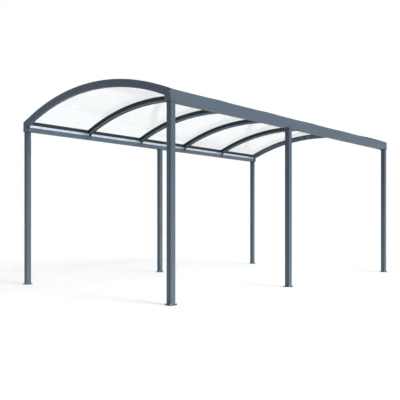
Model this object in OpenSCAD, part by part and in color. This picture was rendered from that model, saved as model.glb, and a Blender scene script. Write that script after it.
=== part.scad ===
// Carport: open frame of six posts and two gutters under a clear barrel roof.
// Millimetres. X runs across, Y runs along with the front at -Y, Z is up.
// The origin is on the ground at the centre of the footprint.

/* [Overall] */
// width over the outer faces of the two gutters
width = 2800; // [2600:10:3000]
// length over the gutter end caps
length = 5060; // [4400:10:5800]
// clear height under the gutters
eave_height = 2040; // [1800:10:2400]
// height of the roof crown above the gutter tops
roof_rise = 285; // [250:5:320]

/* [Posts] */
// side of the square post
post_size = 66; // [60:1:72]
// wall thickness of the post
post_wall = 2.5; // [2:0.5:4]
// corner radius of the post
post_corner = 5; // [4:0.5:8]
// outer face of a post in from the outer face of the gutter
post_setback = 2; // [0:1:6]
// centre of an end post in from the end of the gutter
post_inset = 45; // [45:5:150]
// left middle post, forward of the middle of the length
left_middle_shift = 60; // [0:10:300]
// right middle post, forward of the middle of the length
right_middle_shift = 370; // [0:10:450]
// height of the tubes that plug the two ends of a post
spigot_height = 80; // [50:5:120]
// wall thickness of those tubes
spigot_wall = 3; // [2:0.5:4]
// thickness of the plate at the top of a post
head_plate = 6; // [4:0.5:8]
// length of that plate along the gutter
head_length = 84; // [80:1:90]
// height of its flange up the outer face of the gutter
head_flange = 28; // [20:1:40]
// thickness of the flange
flange_wall = 2.5; // [2:0.5:4]

/* [Base plates] */
// side of the square base plate
base_size = 96; // [94:1:120]
// thickness of the base plate
base_plate = 6; // [5:0.5:10]
// corner radius of the base plate
base_corner = 8; // [4:1:12]
// distance between anchor holes, both ways
anchor_spacing = 78; // [77:1:82]
// diameter of the anchor holes
anchor_hole = 9; // [7:0.5:10]

/* [Gutters] */
// width of the gutter section
gutter_width = 82; // [78:1:92]
// height of the flat outer face
gutter_height = 120; // [110:1:135]
// wall thickness of the gutter section
gutter_wall = 2.5; // [2:0.5:4]
// inward return along the top of the outer face
gutter_return = 8; // [5:1:12]
// height of the closed box along the bottom of the gutter
box_height = 50; // [44:1:54]
// height of the sloped inner lip above that box
lip_rise = 36; // [26:1:40]
// how far the lip leans outward
lip_lean = 12; // [6:1:16]
// thickness of the end caps
cap_thickness = 4; // [3:0.5:6]
// depth of the plug behind an end cap
cap_plug = 14; // [8:1:30]

/* [Arches] */
// depth of the end arches, seen from the front
arch_depth = 82; // [76:1:88]
// thickness of the end arches along the roof
arch_width = 45; // [38:1:60]
// wall thickness of the end arches
arch_wall = 3; // [2:0.5:4]
// how deep the panel edge sits in an end arch
arch_groove = 12; // [8:1:16]
// depth of the ribs, cover strip and all
rib_depth = 74; // [68:1:80]
// thickness of the rib tube along the roof
rib_width = 32; // [28:1:44]
// wall thickness of the rib tube
rib_wall = 2.5; // [2:0.5:4]
// width of the cover strip along the top of a rib
cover_width = 44; // [38:1:60]
// thickness of the cover strip
cover_thickness = 4; // [3:0.5:6]
// thickness of the web between cover strip and rib tube
rib_web = 12; // [8:1:16]
// step from the top of the end arches down to the ribs
rib_drop = 6; // [4:1:10]

/* [Roof] */
// thickness of the clear panels
panel_thickness = 4; // [3:0.5:6]
// thickness of the black seal under the panel ends
seal_thickness = 7; // [5:0.5:10]

/* [Fits] */
// gap left between pieces that slide together
fit_gap = 0.3; // [0.2:0.1:0.6]

/* [Hidden] */
$fn = 96;
roof_fn = 960;
bays = 5;
cut = 10;

half_width = width / 2;
half_length = length / 2;

// roof circle, through the top outer edges of both gutters and the crown
gutter_top = eave_height + gutter_height;
arch_radius = (half_width * half_width + roof_rise * roof_rise) / (2 * roof_rise);
roof_centre = gutter_top + roof_rise - arch_radius;
arch_inner = arch_radius - arch_depth;
rib_radius = arch_radius - rib_drop;
rib_inner = rib_radius - rib_depth;
panel_radius = rib_radius - cover_thickness - fit_gap;
panel_inner = panel_radius - panel_thickness;
groove_outer = panel_radius + fit_gap;
groove_inner = panel_inner - fit_gap;
roof_angle = asin(half_width / rib_inner) + 1;

function height_on(radius, x) = roof_centre + sqrt(radius * radius - x * x);

// where the arches, ribs and panels stop inside a gutter
arch_reach = half_width - gutter_wall - gutter_return - fit_gap;
panel_reach = arch_reach - 2;

// gutter section, measured in from its outer face and up from its underside
lip_x = gutter_width - lip_lean - gutter_wall;
lip_height = box_height + lip_rise;
gutter_floor = eave_height + box_height;

// stations along Y
arch_front = -half_length + cap_thickness;
arch_middle = arch_front + arch_width / 2;
rib_spacing = -2 * arch_middle / bays;
groove_floor = arch_front + arch_width - arch_groove;
end_post_y = half_length - post_inset;
post_x = half_width - post_setback - post_size / 2;
post_height = eave_height - base_plate - head_plate;
spigot_size = post_size - 2 * post_wall - 2 * fit_gap;

frame_colour = [0.30, 0.35, 0.39];
panel_colour = [0.86, 0.93, 0.96, 0.35];
seal_colour = [0.03, 0.03, 0.04];

function rib_y(i) = arch_middle + i * rib_spacing;

// ---- shared shapes ----

module rounded_square(size, radius) {
  inset = size / 2 - radius;
  square([size, size - 2 * radius], center = true);
  square([size - 2 * radius, size], center = true);
  for (x = [-inset, inset], y = [-inset, inset])
    translate([x, y]) circle(r = radius);
}

// square tube standing on z = 0
module square_tube(size, wall, radius, height) {
  linear_extrude(height)
    difference() {
      rounded_square(size, radius);
      rounded_square(size - 2 * wall, radius - wall / 2);
    }
}

// an outline drawn in X and Z, drawn out from one Y to another
module along_y(from, to) {
  translate([0, to, 0])
    rotate([90, 0, 0])
      linear_extrude(to - from) children();
}

// moves an outline drawn in gutter terms onto the right-hand gutter
module at_gutter() {
  translate([half_width, eave_height])
    mirror([1, 0]) children();
}

// sweeps a section (radius, distance back from the front) round the roof
module around_roof() {
  translate([0, 0, roof_centre])
    rotate([90, 0, 0])
      rotate([0, 0, 90 - roof_angle])
        rotate_extrude(angle = 2 * roof_angle, $fn = roof_fn)
          mirror([0, 1]) children();
}

// everything between the gutters and above a level
module roof_space(reach, level) {
  translate([-reach, -half_length, level])
    cube([2 * reach, length, arch_radius]);
}

// ---- posts ----

module post() {
  color(frame_colour)
    translate([0, 0, base_plate])
      square_tube(post_size, post_wall, post_corner, post_height);
}

module foot() {
  color(frame_colour) {
    difference() {
      linear_extrude(base_plate) rounded_square(base_size, base_corner);
      for (x = [-1, 1], y = [-1, 1])
        translate([x * anchor_spacing / 2, y * anchor_spacing / 2, -cut])
          cylinder(d = anchor_hole, h = base_plate + 2 * cut);
    }
    translate([0, 0, base_plate])
      square_tube(spigot_size, spigot_wall, post_corner - post_wall / 2, spigot_height);
  }
}

// the plate spans the gutter and turns up into a flange against its outer face
module head() {
  plate_inner = half_width - gutter_width - post_x;
  flange_inner = half_width + fit_gap - post_x;
  plate_outer = flange_inner + flange_wall;
  plate_base = eave_height - head_plate;
  color(frame_colour) {
    translate([plate_inner, -head_length / 2, plate_base])
      cube([plate_outer - plate_inner, head_length, head_plate]);
    translate([flange_inner, -head_length / 2, eave_height])
      cube([flange_wall, head_length, head_flange]);
    translate([0, 0, plate_base - spigot_height])
      square_tube(spigot_size, spigot_wall, post_corner - post_wall / 2, spigot_height);
  }
}

module right_post(y) {
  translate([post_x, y, 0]) children();
}

module left_post(y) {
  mirror([1, 0, 0]) right_post(y) children();
}

module post_front_left() { left_post(-end_post_y) post(); }
module post_middle_left() { left_post(-left_middle_shift) post(); }
module post_back_left() { left_post(end_post_y) post(); }
module post_front_right() { right_post(-end_post_y) post(); }
module post_middle_right() { right_post(-right_middle_shift) post(); }
module post_back_right() { right_post(end_post_y) post(); }

module foot_front_left() { left_post(-end_post_y) foot(); }
module foot_middle_left() { left_post(-left_middle_shift) foot(); }
module foot_back_left() { left_post(end_post_y) foot(); }
module foot_front_right() { right_post(-end_post_y) foot(); }
module foot_middle_right() { right_post(-right_middle_shift) foot(); }
module foot_back_right() { right_post(end_post_y) foot(); }

module head_front_left() { left_post(-end_post_y) head(); }
module head_middle_left() { left_post(-left_middle_shift) head(); }
module head_back_left() { left_post(end_post_y) head(); }
module head_front_right() { right_post(-end_post_y) head(); }
module head_middle_right() { right_post(-right_middle_shift) head(); }
module head_back_right() { right_post(end_post_y) head(); }

// ---- gutters ----

module gutter_section() {
  inner = gutter_width - gutter_wall;
  difference() {
    polygon([
      [0, 0],
      [gutter_width, 0],
      [gutter_width, box_height],
      [lip_x + gutter_wall, lip_height],
      [lip_x, lip_height],
      [inner, box_height],
      [gutter_wall, box_height],
      [gutter_wall, gutter_height - gutter_wall],
      [gutter_wall + gutter_return, gutter_height - gutter_wall],
      [gutter_wall + gutter_return, gutter_height],
      [0, gutter_height]
    ]);
    translate([gutter_wall, gutter_wall])
      square([inner - gutter_wall, box_height - 2 * gutter_wall]);
  }
}

// the lip is cut away wherever an arch or rib stands on the box
module lip_notch(from, to) {
  along_y(from, to)
    at_gutter()
      translate([lip_x - 1, box_height])
        square([gutter_width - lip_x + 2, lip_rise + 1]);
}

module gutter() {
  arch_notch = arch_front + arch_width + fit_gap;
  rib_notch = rib_width / 2 + fit_gap;
  color(frame_colour)
    difference() {
      along_y(arch_front, -arch_front) at_gutter() gutter_section();
      lip_notch(arch_front - cut, arch_notch);
      lip_notch(-arch_notch, -arch_front + cut);
      for (i = [1:bays - 1])
        lip_notch(rib_y(i) - rib_notch, rib_y(i) + rib_notch);
    }
}

module gutter_right() { gutter(); }
module gutter_left() { mirror([1, 0, 0]) gutter(); }

// end cap with a slanted top that follows the arch, and a plug behind it
module gutter_cap() {
  inner_top = height_on(arch_radius, half_width - gutter_width) - eave_height;
  plug_inset = gutter_wall + fit_gap;
  color(frame_colour) {
    along_y(-half_length, arch_front)
      at_gutter()
        polygon([[0, 0], [gutter_width, 0], [gutter_width, inner_top], [0, gutter_height]]);
    along_y(arch_front, arch_front + cap_plug)
      at_gutter()
        translate([plug_inset, plug_inset])
          square([gutter_width - 2 * plug_inset, box_height - 2 * plug_inset]);
  }
}

module gutter_cap_front_right() { gutter_cap(); }
module gutter_cap_front_left() { mirror([1, 0, 0]) gutter_cap(); }
module gutter_cap_back_right() { mirror([0, 1, 0]) gutter_cap(); }
module gutter_cap_back_left() { mirror([1, 0, 0]) mirror([0, 1, 0]) gutter_cap(); }

// ---- arches and ribs ----

// two-chamber section with a groove for the panel edge on its inner side
module arch_section() {
  upper = groove_inner - arch_wall;
  difference() {
    translate([arch_inner, 0]) square([arch_depth, arch_width]);
    translate([arch_inner + arch_wall, arch_wall])
      square([upper - arch_inner - arch_wall, arch_width - 2 * arch_wall]);
    translate([groove_inner, arch_wall])
      square([arch_radius - arch_wall - groove_inner, arch_width - arch_groove - 2 * arch_wall]);
    translate([groove_inner, arch_width - arch_groove])
      square([groove_outer - groove_inner, arch_groove + 1]);
  }
}

module arch() {
  color(frame_colour)
    intersection() {
      translate([0, arch_front, 0]) around_roof() arch_section();
      roof_space(arch_reach, gutter_floor + fit_gap);
    }
}

module arch_front() { arch(); }
module arch_back() { mirror([0, 1, 0]) arch(); }

// cover strip, web and tube in one section, with a groove on both sides
module rib_section() {
  translate([rib_radius - cover_thickness, -cover_width / 2])
    square([cover_thickness, cover_width]);
  translate([groove_inner, -rib_web / 2])
    square([groove_outer - groove_inner, rib_web]);
  difference() {
    translate([rib_inner, -rib_width / 2])
      square([groove_inner - rib_inner, rib_width]);
    translate([rib_inner + rib_wall, -rib_width / 2 + rib_wall])
      square([groove_inner - rib_inner - 2 * rib_wall, rib_width - 2 * rib_wall]);
  }
}

module rib(i) {
  color(frame_colour)
    intersection() {
      translate([0, rib_y(i), 0]) around_roof() rib_section();
      roof_space(arch_reach, gutter_floor + fit_gap);
    }
}

module rib_1() { rib(1); }
module rib_2() { rib(2); }
module rib_3() { rib(3); }
module rib_4() { rib(4); }

// ---- roof ----

// edges of the clear panel in a bay, inside the grooves
function bay_start(i) = i == 1 ? groove_floor + 1 : rib_y(i - 1) + rib_web / 2 + 1;
function bay_end(i) = i == bays ? -groove_floor - 1 : rib_y(i) - rib_web / 2 - 1;

module roof_panel(i) {
  color(panel_colour)
    intersection() {
      translate([0, bay_start(i), 0])
        around_roof()
          translate([panel_inner, 0])
            square([panel_thickness, bay_end(i) - bay_start(i)]);
      roof_space(panel_reach, gutter_floor);
    }
}

module roof_panel_1() { roof_panel(1); }
module roof_panel_2() { roof_panel(2); }
module roof_panel_3() { roof_panel(3); }
module roof_panel_4() { roof_panel(4); }
module roof_panel_5() { roof_panel(5); }

// clear span of a bay, between the sides of the arches or ribs
function span_start(i) = i == 1 ? arch_front + arch_width : rib_y(i - 1) + rib_width / 2;
function span_end(i) = i == bays ? -arch_front - arch_width : rib_y(i) - rib_width / 2;

function panel_over(u) = height_on(panel_inner, half_width - u) - eave_height - fit_gap;

module seal_section() {
  outer = lip_x - (seal_thickness - gutter_wall) / 2;
  inner = outer + seal_thickness;
  base = lip_height + fit_gap;
  polygon([[outer, base], [inner, base], [inner, panel_over(inner)], [outer, panel_over(outer)]]);
}

// one length of seal to each bay
module panel_seal() {
  color(seal_colour)
    for (i = [1:bays])
      along_y(span_start(i) + fit_gap, span_end(i) - fit_gap)
        at_gutter() seal_section();
}

module panel_seal_right() { panel_seal(); }
module panel_seal_left() { mirror([1, 0, 0]) panel_seal(); }

// ---- nodes ----

post_front_left();
post_middle_left();
post_back_left();
post_front_right();
post_middle_right();
post_back_right();
foot_front_left();
foot_middle_left();
foot_back_left();
foot_front_right();
foot_middle_right();
foot_back_right();
head_front_left();
head_middle_left();
head_back_left();
head_front_right();
head_middle_right();
head_back_right();
gutter_left();
gutter_right();
gutter_cap_front_left();
gutter_cap_back_left();
gutter_cap_front_right();
gutter_cap_back_right();
arch_front();
arch_back();
rib_1();
rib_2();
rib_3();
rib_4();
roof_panel_1();
roof_panel_2();
roof_panel_3();
roof_panel_4();
roof_panel_5();
panel_seal_left();
panel_seal_right();
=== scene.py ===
"""Open carport: finishes, fixings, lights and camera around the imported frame.

Metres throughout. X runs across, Y runs along with the front at -Y, Z is up.
"""
import math

import bmesh
import bpy
from mathutils import Matrix, Vector


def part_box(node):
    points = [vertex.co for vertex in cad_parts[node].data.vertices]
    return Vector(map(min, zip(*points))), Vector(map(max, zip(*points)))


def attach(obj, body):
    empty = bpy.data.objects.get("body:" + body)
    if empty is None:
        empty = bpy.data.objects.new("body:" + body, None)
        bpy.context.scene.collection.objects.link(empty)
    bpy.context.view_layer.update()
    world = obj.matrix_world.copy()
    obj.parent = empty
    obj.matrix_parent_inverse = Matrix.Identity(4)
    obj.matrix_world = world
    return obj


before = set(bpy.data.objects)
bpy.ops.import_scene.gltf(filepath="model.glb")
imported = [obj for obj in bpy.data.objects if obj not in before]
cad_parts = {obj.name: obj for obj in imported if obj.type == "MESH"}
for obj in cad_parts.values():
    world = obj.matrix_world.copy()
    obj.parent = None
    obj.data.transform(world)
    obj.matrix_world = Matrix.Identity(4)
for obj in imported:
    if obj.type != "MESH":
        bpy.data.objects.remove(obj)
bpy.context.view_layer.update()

MM = 0.001
BODY = "root"
CORNERS = ["front_left", "middle_left", "back_left",
           "front_right", "middle_right", "back_right"]
RIBS = ["rib_1", "rib_2", "rib_3", "rib_4"]

# sizes of the fixings and trims that only this script adds
ANCHOR_SPACING = 78 * MM
STUD_RADIUS = 4 * MM
STUD_TOP = 15 * MM
WASHER_RADIUS = 8 * MM
WASHER_HEIGHT = 1.6 * MM
NUT_RADIUS = 7.5 * MM
NUT_HEIGHT = 6.5 * MM
SCREW_RADIUS = 4.5 * MM
SCREW_HEIGHT = 2.4 * MM
COVER_SCREW_STEP = 0.33
BEAD = 2.5 * MM
UNDER_BEAD = 6 * MM
TRIM_HEIGHT = 22 * MM
TRIM_TOP = 0.8 * MM
TRIM_BOTTOM = 3 * MM
LINER = 0.8 * MM
HEAD_SCREW_SHARES = (0.2, 0.8)
HEAD_SCREW_HEIGHT = 0.55
POST_SCREW_HEIGHTS = (25 * MM, 60 * MM)
CAP_SCREWS = ((14 * MM, 88 * MM), (66 * MM, 18 * MM))
COVER_SCREW_END = 60 * MM
TRIM_END = 72 * MM
BEAD_END = 2 * MM

# half the spread of the cloudy patches in the coat, in 8-bit levels
PATCH_CONTRAST = 4

# sizes that the sections share with the part's source
PANEL_THICKNESS = 4 * MM
RIB_DEPTH = 74 * MM
RIB_TUBE_HALF = 16 * MM
GUTTER_WIDTH = 82 * MM
BOX_HEIGHT = 50 * MM
LIP_RISE = 36 * MM
LIP_LEAN = 12 * MM


# ---- where things are, from the frame ----

def side_of(name):
    """+1 for a piece on the right, -1 for one on the left."""
    return 1 if name.endswith("right") else -1


def low_high(node):
    low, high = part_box(node)
    return Vector(low), Vector(high)


gutter_low, gutter_high = low_high("gutter_right")
half_width = gutter_high.x
crown = low_high("arch_front")[1].z
rise = crown - gutter_high.z
roof_radius = (half_width ** 2 + rise ** 2) / (2 * rise)
roof_centre = crown - roof_radius
rib_low, rib_high = low_high("rib_1")
rib_radius = rib_high.z - roof_centre
panel_radius = low_high("roof_panel_1")[1].z - roof_centre
panel_inner = panel_radius - PANEL_THICKNESS
rib_inner = rib_radius - RIB_DEPTH
cover_half = (rib_high.y - rib_low.y) / 2


# ---- shader helpers ----

def new_material(name):
    material = bpy.data.materials.new(name)
    material.use_nodes = True
    nodes = material.node_tree.nodes
    nodes.clear()
    output = nodes.new("ShaderNodeOutputMaterial")
    shader = nodes.new("ShaderNodeBsdfPrincipled")
    material.node_tree.links.new(shader.outputs["BSDF"], output.inputs["Surface"])
    return material, shader


def add_node(material, kind, **values):
    node = material.node_tree.nodes.new(kind)
    for key, value in values.items():
        node.inputs[key.replace("_", " ")].default_value = value
    return node


def link(material, source, target):
    material.node_tree.links.new(source, target)


def srgb(red, green, blue):
    """Linear colour of an 8-bit sRGB one."""
    def linear(value):
        value /= 255
        return value / 12.92 if value <= 0.04045 else ((value + 0.055) / 1.055) ** 2.4
    return (linear(red), linear(green), linear(blue), 1)


def noise(material, scale, detail=3.0, stretch=(1, 1, 1)):
    """Noise in object space, with its features stretched along the axes."""
    place = add_node(material, "ShaderNodeTexCoord")
    mapping = add_node(material, "ShaderNodeMapping", Scale=stretch)
    texture = add_node(material, "ShaderNodeTexNoise", Scale=scale, Detail=detail)
    link(material, place.outputs["Object"], mapping.inputs["Vector"])
    link(material, mapping.outputs["Vector"], texture.inputs["Vector"])
    return texture.outputs["Fac"]


def spread(material, factor, low, high):
    """Maps the middle of a noise onto a range of numbers."""
    ramp = add_node(material, "ShaderNodeMapRange")
    ramp.inputs["From Min"].default_value = 0.3
    ramp.inputs["From Max"].default_value = 0.7
    ramp.inputs["To Min"].default_value = low
    ramp.inputs["To Max"].default_value = high
    link(material, factor, ramp.inputs["Value"])
    return ramp.outputs["Result"]


def blend_colours(material, factor, first, second):
    """Mixes two colours, of which the second may be the output of another node."""
    mix = add_node(material, "ShaderNodeMix")
    mix.data_type = "RGBA"
    colour_inputs = [socket for socket in mix.inputs if socket.type == "RGBA"]
    colour_inputs[0].default_value = first
    if isinstance(second, bpy.types.NodeSocket):
        link(material, second, colour_inputs[1])
    else:
        colour_inputs[1].default_value = second
    link(material, factor, mix.inputs["Factor"])
    return [socket for socket in mix.outputs if socket.type == "RGBA"][0]


def add_bump(material, shader, height, strength, distance, rounding=None):
    """Bump over the surface, with edges rounded in the shading."""
    bump = add_node(material, "ShaderNodeBump", Strength=strength, Distance=distance)
    link(material, height, bump.inputs["Height"])
    if rounding:
        bevel = add_node(material, "ShaderNodeBevel", Radius=rounding)
        link(material, bevel.outputs["Normal"], bump.inputs["Normal"])
    link(material, bump.outputs["Normal"], shader.inputs["Normal"])


# ---- finishes ----

def height_share(material, low, high):
    """0 at one height and 1 at another, in object space."""
    place = add_node(material, "ShaderNodeTexCoord")
    parts = add_node(material, "ShaderNodeSeparateXYZ")
    share = add_node(material, "ShaderNodeMapRange")
    share.inputs["From Min"].default_value = low
    share.inputs["From Max"].default_value = high
    link(material, place.outputs["Object"], parts.inputs["Vector"])
    link(material, parts.outputs["Z"], share.inputs["Value"])
    return share.outputs["Result"]


def slate_coat(name, colour, grain, painted_foot_light=None):
    """Fine-textured powder coat, with cloudy patches and, on a post, painted light that pales it
    towards the foot.
    """
    material, shader = new_material(name)
    light = srgb(*[value + PATCH_CONTRAST for value in colour])
    dark = srgb(*[value - PATCH_CONTRAST for value in colour])
    patches = spread(material, noise(material, 3.2, 4.0, grain), 0, 1)
    tone = blend_colours(material, patches, dark, light)
    if painted_foot_light:
        # painted light: the post blends from its head colour to a paler one at its foot
        share = height_share(material, 0, gutter_low.z)
        tone = blend_colours(material, share, srgb(*painted_foot_light), tone)
    shader.inputs["Specular IOR Level"].default_value = 0.2
    link(material, tone, shader.inputs["Base Color"])
    link(material, spread(material, noise(material, 14, 5.0, grain), 0.46, 0.6),
         shader.inputs["Roughness"])
    add_bump(material, shader, noise(material, 900, 2.0), 0.25, 0.0002, rounding=0.0015)
    return material


def clear_sheet():
    """Clear solid polycarbonate with the faintest blue."""
    material, shader = new_material("clear_sheet")
    shader.inputs["Transmission Weight"].default_value = 1.0
    shader.inputs["IOR"].default_value = 1.08
    shader.inputs["Alpha"].default_value = 0.2
    haze = noise(material, 2.5, 3.0)
    link(material, blend_colours(material, spread(material, haze, 0, 1),
                                 srgb(222, 243, 250), srgb(230, 247, 252)),
         shader.inputs["Base Color"])
    link(material, spread(material, noise(material, 6, 4.0), 0.03, 0.09),
         shader.inputs["Roughness"])
    add_bump(material, shader, noise(material, 1.6, 1.0), 0.02, 0.002)
    return material


def black_rubber():
    """Matt black extruded rubber with a fine grain along its length."""
    material, shader = new_material("black_seal")
    link(material, blend_colours(material, spread(material, noise(material, 30, 4.0), 0, 1),
                                 srgb(14, 16, 20), srgb(26, 29, 34)),
         shader.inputs["Base Color"])
    link(material, spread(material, noise(material, 60, 3.0), 0.55, 0.75),
         shader.inputs["Roughness"])
    add_bump(material, shader, noise(material, 500, 2.0), 0.3, 0.0003)
    return material


def bright_steel():
    """Zinc-plated steel of the bolts and screws."""
    material, shader = new_material("bright_steel")
    shader.inputs["Metallic"].default_value = 1.0
    link(material, blend_colours(material, spread(material, noise(material, 120, 3.0), 0, 1),
                                 srgb(176, 182, 188), srgb(205, 209, 213)),
         shader.inputs["Base Color"])
    link(material, spread(material, noise(material, 200, 3.0), 0.28, 0.45),
         shader.inputs["Roughness"])
    add_bump(material, shader, noise(material, 1500, 2.0), 0.15, 0.0001)
    return material


def painted_reflection_liner_finish():
    """Satin aluminium of the strip inside the gutters, brushed along Y; its pale colour is a painted
    reflection of the bright surroundings.
    """
    material, shader = new_material("liner_painted_reflection")
    shader.inputs["Metallic"].default_value = 0.4
    link(material, blend_colours(material, spread(material, noise(material, 8, 3.0), 0, 1),
                                 srgb(186, 201, 213), srgb(200, 213, 224)),
         shader.inputs["Base Color"])
    link(material, spread(material, noise(material, 300, 4.0, (1, 0.02, 1)), 0.25, 0.4),
         shader.inputs["Roughness"])
    add_bump(material, shader, noise(material, 900, 2.0, (1, 0.02, 1)), 0.1, 0.0001)
    return material


def dress(node, material):
    """Puts a finish on a CAD node."""
    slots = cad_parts[node].material_slots
    if not slots:
        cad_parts[node].data.materials.append(material)
    for slot in slots:
        slot.material = material


# ---- mesh helpers ----

def add_piece(name, mesh, material, smooth=False):
    """Makes a piece from a bmesh, on the frame's one body."""
    data = bpy.data.meshes.new(name)
    bmesh.ops.recalc_face_normals(mesh, faces=mesh.faces)
    mesh.to_mesh(data)
    mesh.free()
    data.materials.append(material)
    if smooth:
        data.shade_smooth()
    piece = bpy.data.objects.new(name, data)
    bpy.context.scene.collection.objects.link(piece)
    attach(piece, BODY)
    return piece


def add_rings(mesh, rings):
    """Skins a closed solid over a list of rings of the same number of points."""
    loops = [[mesh.verts.new(point) for point in ring] for ring in rings]
    count = len(loops[0])
    for lower, upper in zip(loops, loops[1:]):
        for i in range(count):
            j = (i + 1) % count
            mesh.faces.new((lower[i], lower[j], upper[j], upper[i]))
    mesh.faces.new(list(reversed(loops[0])))
    mesh.faces.new(loops[-1])


def ring(radius, height, sides, turn=0.0):
    """Points round the Z axis at a height."""
    step = 2 * math.pi / sides
    return [Vector((radius * math.cos(i * step + turn), radius * math.sin(i * step + turn), height))
            for i in range(sides)]


def add_turned(mesh, profile, sides, place):
    """A solid from a list of (radius, height) pairs, set down by a matrix."""
    add_rings(mesh, [[place @ point for point in ring(radius, height, sides)]
                     for radius, height in profile])


def facing(point, direction):
    """Matrix that carries +Z onto a direction, at a point."""
    turn = Vector((0, 0, 1)).rotation_difference(Vector(direction)).to_matrix().to_4x4()
    return Matrix.Translation(point) @ turn


# ---- fixings ----

def add_anchor_bolt(mesh, place):
    """Stud with a washer and hexagon nut, standing on a base plate."""
    washer_top = WASHER_HEIGHT
    nut_top = washer_top + NUT_HEIGHT
    bevel = 0.6 * MM
    add_turned(mesh, [(WASHER_RADIUS, 0), (WASHER_RADIUS, washer_top)], 32, place)
    add_turned(mesh, [(NUT_RADIUS - bevel, washer_top), (NUT_RADIUS, washer_top + bevel),
                      (NUT_RADIUS, nut_top - bevel), (NUT_RADIUS - bevel, nut_top)], 6, place)
    add_turned(mesh, [(STUD_RADIUS, nut_top - bevel), (STUD_RADIUS, STUD_TOP - bevel),
                      (STUD_RADIUS - bevel, STUD_TOP)], 20, place)


def add_screw(mesh, place):
    """Low domed screw head."""
    profile = [(SCREW_RADIUS, 0), (SCREW_RADIUS, 0.3 * SCREW_HEIGHT),
               (0.88 * SCREW_RADIUS, 0.75 * SCREW_HEIGHT), (0.6 * SCREW_RADIUS, SCREW_HEIGHT)]
    add_turned(mesh, profile, 24, place)


def add_anchor_bolts(corner):
    low, high = low_high("foot_" + corner)
    centre = (low + high) / 2
    plate_top = low_high("post_" + corner)[0].z
    mesh = bmesh.new()
    for x in (-ANCHOR_SPACING / 2, ANCHOR_SPACING / 2):
        for y in (-ANCHOR_SPACING / 2, ANCHOR_SPACING / 2):
            add_anchor_bolt(mesh, Matrix.Translation((centre.x + x, centre.y + y, plate_top)))
    add_piece("anchor_bolts_" + corner, mesh, STEEL)


def add_head_screws(corner):
    """Two screws through the flange into the outer face of the gutter."""
    low, high = low_high("head_" + corner)
    side = side_of(corner)
    outer = high.x if side > 0 else low.x
    height = gutter_low.z + (high.z - gutter_low.z) * HEAD_SCREW_HEIGHT
    mesh = bmesh.new()
    for share in HEAD_SCREW_SHARES:
        y = low.y + share * (high.y - low.y)
        add_screw(mesh, facing(Vector((outer, y, height)), (side, 0, 0)))
    add_piece("head_screws_" + corner, mesh, COAT_DARK)


def add_post_screws(corner):
    """Screws that hold the post on the tubes at its two ends, on its inner face."""
    low, high = low_high("post_" + corner)
    side = side_of(corner)
    inner = low.x if side > 0 else high.x
    middle = (low.y + high.y) / 2
    mesh = bmesh.new()
    for from_end in POST_SCREW_HEIGHTS:
        for height in (low.z + from_end, high.z - from_end):
            add_screw(mesh, facing(Vector((inner, middle, height)), (-side, 0, 0)))
    add_piece("post_screws_" + corner, mesh, COAT_DARK)


def add_cap_screws(name):
    """Two screws through a gutter end cap."""
    low, high = low_high("gutter_cap_" + name)
    end = -1 if name.startswith("front") else 1
    face = low.y if end < 0 else high.y
    side = side_of(name)
    outer = half_width * side
    mesh = bmesh.new()
    for inward, up in CAP_SCREWS:
        point = Vector((outer - side * inward, face, low.z + up))
        add_screw(mesh, facing(point, (0, end, 0)))
    add_piece("cap_screws_" + name, mesh, STEEL)


def roof_point(radius, x, y):
    return Vector((x, y, roof_centre + math.sqrt(radius ** 2 - x ** 2)))


def add_cover_screws(rib):
    """Screws along the cover strip of a rib."""
    low, high = low_high(rib)
    y = (low.y + high.y) / 2
    reach = high.x - COVER_SCREW_END
    half_count = int(reach / COVER_SCREW_STEP)
    mesh = bmesh.new()
    for i in range(-half_count, half_count + 1):
        x = i * reach / half_count
        point = roof_point(rib_radius, x, y)
        add_screw(mesh, facing(point, (x, 0, point.z - roof_centre)))
    add_piece("cover_screws_" + rib, mesh, STEEL)


# ---- gaskets, and the gutter strips of painted reflection ----

def add_roof_strip(mesh, section, reach, steps=96):
    """Sweeps a section of (radius, y) points over the roof from side to side."""
    rings = []
    for i in range(steps + 1):
        share = 2 * i / steps - 1
        points = []
        for radius, y in section:
            angle = math.asin(reach / radius) * share
            points.append(Vector((radius * math.sin(angle), y,
                                  roof_centre + radius * math.cos(angle))))
        rings.append(points)
    add_rings(mesh, rings)


def bead(radius, y, out, rise_of):
    """Section of a small bead in the corner at a point, going out along Y."""
    return [(radius, y), (radius, y + out * BEAD), (radius + 0.6 * rise_of, y + out * BEAD),
            (radius + rise_of, y + out * 0.4 * BEAD), (radius + rise_of, y)]


def add_rib_gasket(rib):
    """Beads above and below the panels along both sides of a rib."""
    low, high = low_high(rib)
    y = (low.y + high.y) / 2
    inner_reach = low_high("panel_seal_right")[0].x
    mesh = bmesh.new()
    for out in (-1, 1):
        add_roof_strip(mesh, bead(panel_radius, y + out * cover_half, out, BEAD), high.x - BEAD_END)
        add_roof_strip(mesh, bead(panel_inner, y + out * RIB_TUBE_HALF, out, -UNDER_BEAD),
                       inner_reach)
    add_piece("gasket_" + rib, mesh, RUBBER)


def add_rib_trim(rib):
    """Moulding along the lower edge of a rib, on both sides, leaning to face the ground, in a paler
    coat that is painted floor light.
    """
    low, high = low_high(rib)
    y = (low.y + high.y) / 2
    mesh = bmesh.new()
    for out in (-1, 1):
        side = y + out * (RIB_TUBE_HALF + 0.1 * MM)
        section = [(rib_inner, side), (rib_inner, side + out * TRIM_BOTTOM),
                   (rib_inner + TRIM_HEIGHT, side + out * TRIM_TOP), (rib_inner + TRIM_HEIGHT, side)]
        add_roof_strip(mesh, section, high.x - TRIM_END)
    add_piece("trim_" + rib, mesh, COAT_TRIM_PAINTED_LIGHT)


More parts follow.
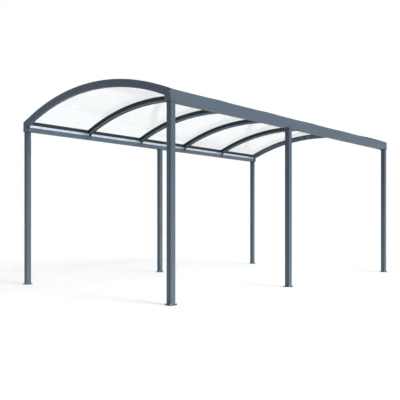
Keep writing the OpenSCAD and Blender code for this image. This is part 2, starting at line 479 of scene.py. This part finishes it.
def add_arch_gasket(arch):
    """Beads above and below the panel where it enters the groove of an end arch."""
    low, high = low_high(arch)
    out = 1 if arch.endswith("front") else -1
    y = high.y if out > 0 else low.y
    inner_reach = low_high("panel_seal_right")[0].x
    mesh = bmesh.new()
    add_roof_strip(mesh, bead(panel_radius, y, out, BEAD), high.x - BEAD_END)
    add_roof_strip(mesh, bead(panel_inner, y, out, -UNDER_BEAD), inner_reach)
    add_piece("gasket_" + arch, mesh, RUBBER)


def clear_spans():
    """Stretches along Y between the arches and ribs."""
    stations = [low_high("arch_front")[1].y]
    for rib in RIBS:
        low, high = low_high(rib)
        middle = (low.y + high.y) / 2
        stations += [middle - RIB_TUBE_HALF, middle + RIB_TUBE_HALF]
    stations.append(low_high("arch_back")[0].y)
    return list(zip(stations[0::2], stations[1::2]))


def add_lip_reflection_strip(name):
    """Strip on the inner face of the sloped gutter lip, one length to a bay, pale with a painted
    reflection.
    """
    side = side_of(name)
    lip_foot = Vector((half_width - GUTTER_WIDTH, 0, gutter_low.z + BOX_HEIGHT))
    lip_head = Vector((lip_foot.x + LIP_LEAN, 0, lip_foot.z + LIP_RISE))
    slope = (lip_head - lip_foot).normalized()
    outward = Vector((slope.z, 0, -slope.x))
    start = lip_foot + slope * MM - outward * LINER / 4
    finish = lip_head - slope * MM - outward * LINER / 4
    corners = [start, finish, finish - outward * LINER, start - outward * LINER]
    mesh = bmesh.new()
    for first, last in clear_spans():
        rings = [[Vector((side * point.x, y, point.z)) for point in corners]
                 for y in (first + MM, last - MM)]
        add_rings(mesh, rings)
    add_piece("lip_reflection_strip_" + name, mesh, LINER_PAINTED_REFLECTION)


# ---- the carport ----

COAT = slate_coat("slate_coat", (96, 110, 125), (1, 0.25, 1))
# posts: a copy of the coat, darker at the head and paler at the foot, as painted shade and light
COAT_POST_PAINTED_SHADING = slate_coat("slate_coat_post_painted_shading", (86, 101, 117), (1, 1, 0.25), (113, 130, 143))
COAT_DARK = slate_coat("slate_coat_dark", (72, 84, 97), (1, 1, 1))
# ribs: a much darker copy of the coat, painted shade on their sides
COAT_RIB_PAINTED_SHADE = slate_coat("slate_coat_rib_painted_shade", (36, 50, 63), (0.25, 1, 1))
# rib trims: a paler copy of the coat, painted light from the floor
COAT_TRIM_PAINTED_LIGHT = slate_coat("slate_coat_trim_painted_light", (116, 133, 146), (0.25, 1, 1))
CLEAR = clear_sheet()
RUBBER = black_rubber()
STEEL = bright_steel()
# gutter lip strips: pale colour that is a painted reflection
LINER_PAINTED_REFLECTION = painted_reflection_liner_finish()

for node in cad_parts:
    if node.startswith("roof_panel"):
        dress(node, CLEAR)
    elif node.startswith("panel_seal"):
        dress(node, RUBBER)
    elif node.startswith("post"):
        dress(node, COAT_POST_PAINTED_SHADING)
    elif node.startswith("foot"):
        dress(node, COAT_DARK)
    elif node.startswith("rib"):
        dress(node, COAT_RIB_PAINTED_SHADE)
    else:
        dress(node, COAT)

for corner in CORNERS:
    add_anchor_bolts(corner)
    add_head_screws(corner)
    add_post_screws(corner)
for name in ("front_left", "back_left", "front_right", "back_right"):
    add_cap_screws(name)
for rib in RIBS:
    add_cover_screws(rib)
    add_rib_gasket(rib)
    add_rib_trim(rib)
for arch in ("arch_front", "arch_back"):
    add_arch_gasket(arch)
for name in ("left", "right"):
    add_lip_reflection_strip(name)


# ---- floor, lights and camera ----

WHITE_LEVEL = 1.0
FLOOR_LIFT = 0.42
FRONT_LEVEL = 0.08
BACK_LEVEL = 0.62
FLOOR_HALF = 60
CAMERA_PLACE = (5.297, -6.350, 0.831)
CAMERA_TURN = 0.7412
CAMERA_LENS = 49.437
CAMERA_SHIFT = 0.05525


def seen_directly(material):
    """1 for camera, glossy and transmission rays, 0 for the rays that light things."""
    path = add_node(material, "ShaderNodeLightPath")
    total = path.outputs["Is Camera Ray"]
    for name in ("Is Glossy Ray", "Is Transmission Ray"):
        both = add_node(material, "ShaderNodeMath")
        both.operation = "MAXIMUM"
        link(material, total, both.inputs[0])
        link(material, path.outputs[name], both.inputs[1])
        total = both.outputs[0]
    return total


def add_floor():
    mesh = bmesh.new()
    corners = [(-1, -1), (1, -1), (1, 1), (-1, 1)]
    mesh.faces.new([mesh.verts.new((x * FLOOR_HALF, y * FLOOR_HALF, -0.001)) for x, y in corners])
    data = bpy.data.meshes.new("floor")
    mesh.to_mesh(data)
    mesh.free()
    material = bpy.data.materials.new("floor")
    material.use_nodes = True
    nodes = material.node_tree.nodes
    nodes.clear()
    output = nodes.new("ShaderNodeOutputMaterial")
    plain = add_node(material, "ShaderNodeBsdfDiffuse", Color=(0.8, 0.8, 0.8, 1))
    lift = add_node(material, "ShaderNodeEmission", Strength=FLOOR_LIFT)
    total = nodes.new("ShaderNodeAddShader")
    choose = nodes.new("ShaderNodeMixShader")
    link(material, plain.outputs[0], total.inputs[0])
    link(material, lift.outputs[0], total.inputs[1])
    link(material, seen_directly(material), choose.inputs["Fac"])
    link(material, plain.outputs[0], choose.inputs[1])
    link(material, total.outputs[0], choose.inputs[2])
    link(material, choose.outputs[0], output.inputs["Surface"])
    data.materials.append(material)
    floor = bpy.data.objects.new("floor", data)
    bpy.context.scene.collection.objects.link(floor)


def light_world():
    world = bpy.data.worlds.new("studio")
    bpy.context.scene.world = world
    world.use_nodes = True
    nodes = world.node_tree.nodes
    nodes.clear()
    output = nodes.new("ShaderNodeOutputWorld")
    soft = add_node(world, "ShaderNodeBackground")
    white = add_node(world, "ShaderNodeBackground", Strength=WHITE_LEVEL)
    for shade in (soft, white):
        shade.inputs["Color"].default_value = (1, 1, 1, 1)
    direction = nodes.new("ShaderNodeTexCoord")
    parts = nodes.new("ShaderNodeSeparateXYZ")
    level = nodes.new("ShaderNodeMapRange")
    level.inputs["From Min"].default_value = -1
    level.inputs["To Min"].default_value = FRONT_LEVEL
    level.inputs["To Max"].default_value = BACK_LEVEL
    link(world, direction.outputs["Generated"], parts.inputs["Vector"])
    link(world, parts.outputs["Y"], level.inputs["Value"])
    link(world, level.outputs["Result"], soft.inputs["Strength"])
    choose = nodes.new("ShaderNodeMixShader")
    link(world, seen_directly(world), choose.inputs["Fac"])
    link(world, soft.outputs[0], choose.inputs[1])
    link(world, white.outputs[0], choose.inputs[2])
    link(world, choose.outputs[0], output.inputs["Surface"])


def add_sun(name, strength, spread_angle, towards):
    """A distant lamp, whose light travels along a direction."""
    data = bpy.data.lights.new(name, "SUN")
    data.energy = strength
    data.angle = math.radians(spread_angle)
    lamp = bpy.data.objects.new(name, data)
    lamp.rotation_euler = Vector(towards).to_track_quat("-Z", "Y").to_euler()
    bpy.context.scene.collection.objects.link(lamp)


def add_camera():
    """Level camera, kneeling height, before the right front corner."""
    data = bpy.data.cameras.new("camera")
    data.lens = CAMERA_LENS
    data.sensor_width = 36
    data.shift_y = CAMERA_SHIFT
    data.clip_end = 500
    camera = bpy.data.objects.new("camera", data)
    camera.location = CAMERA_PLACE
    camera.rotation_euler = (math.pi / 2, 0, CAMERA_TURN)
    bpy.context.scene.collection.objects.link(camera)
    bpy.context.scene.camera = camera


add_floor()
light_world()
add_sun("key", 2.0, 25, (-0.8, -0.1, -0.6))
add_camera()
bpy.context.scene.view_settings.view_transform = "Standard"
